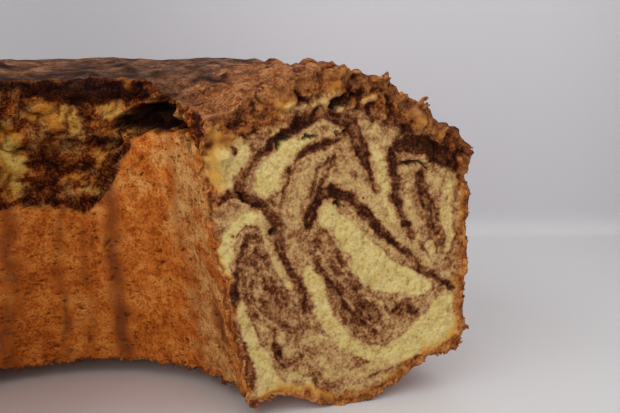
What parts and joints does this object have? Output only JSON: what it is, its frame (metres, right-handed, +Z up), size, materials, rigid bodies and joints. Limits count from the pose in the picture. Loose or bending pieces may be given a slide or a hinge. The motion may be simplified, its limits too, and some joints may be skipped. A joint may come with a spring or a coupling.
{
  "type": "marble ring cake",
  "caption": "Marbled sponge cake baked in a tube tin, crust side up, with a wedge cut away so that the yellow and chocolate swirls show.",
  "frame": {"origin": "middle of the bounding box, on the surface that the cake stands on", "axes": "+Z up through the risen crust; -Y towards the middle of the missing wedge; +X across the ring"},
  "size_m": [0.2432, 0.1768, 0.1024],
  "materials": {
    "cake": "baked sponge: matte porous crumb in pale yellow and chocolate brown, with a browned, slightly glossy crust"
  },
  "bodies": {
    "root": {"cake": "cake"}
  },
  "joints": []
}
